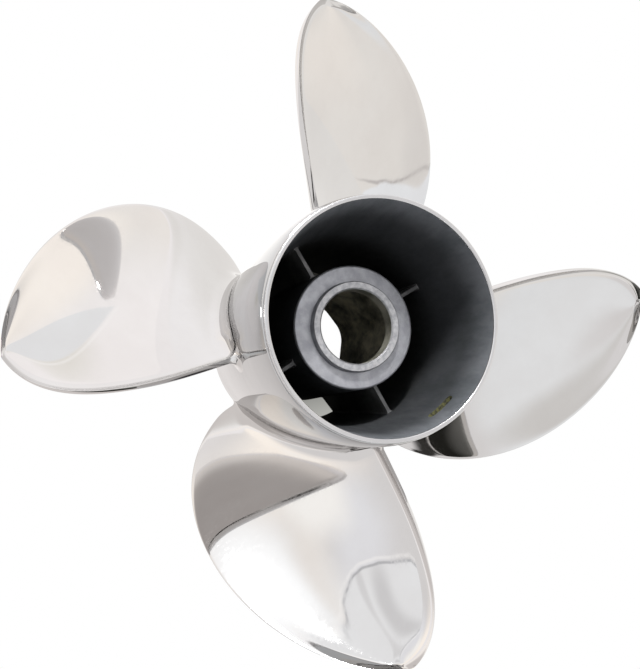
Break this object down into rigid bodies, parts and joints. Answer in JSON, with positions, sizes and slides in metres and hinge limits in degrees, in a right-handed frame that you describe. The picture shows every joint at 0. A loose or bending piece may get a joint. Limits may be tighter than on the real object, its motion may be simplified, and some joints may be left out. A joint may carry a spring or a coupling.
{
  "type": "ship propeller with exhaust through the hub",
  "caption": "Right-hand screw propeller in polished stainless steel: raked, skewed and cupped blades on a hollow barrel, with ribs that carry an open inner hub for the shaft bushing.",
  "frame": {"origin": "on the shaft axis, in the plane of the barrel's front rim, which is the lowest point", "axes": "+Z runs aft along the shaft axis, X and Y lie in the plane of the front rim"},
  "size_m": [0.3226, 0.3226, 0.143],
  "materials": {
    "polished_stainless": "mirror-polished stainless steel",
    "sooted_casting": "as-cast stainless, dark and dull inside the exhaust passage",
    "satin_hub_face": "blasted stainless with a fine grain"
  },
  "bodies": {
    "root": {"outer_barrel": "polished_stainless", "blade_1": "polished_stainless", "blade_2": "polished_stainless", "blade_3": "polished_stainless", "blade_4": "polished_stainless", "inner_hub": "satin_hub_face", "hub_rib_1": "sooted_casting", "hub_rib_2": "sooted_casting", "hub_rib_3": "sooted_casting", "hub_rib_4": "sooted_casting"}
  },
  "joints": []
}
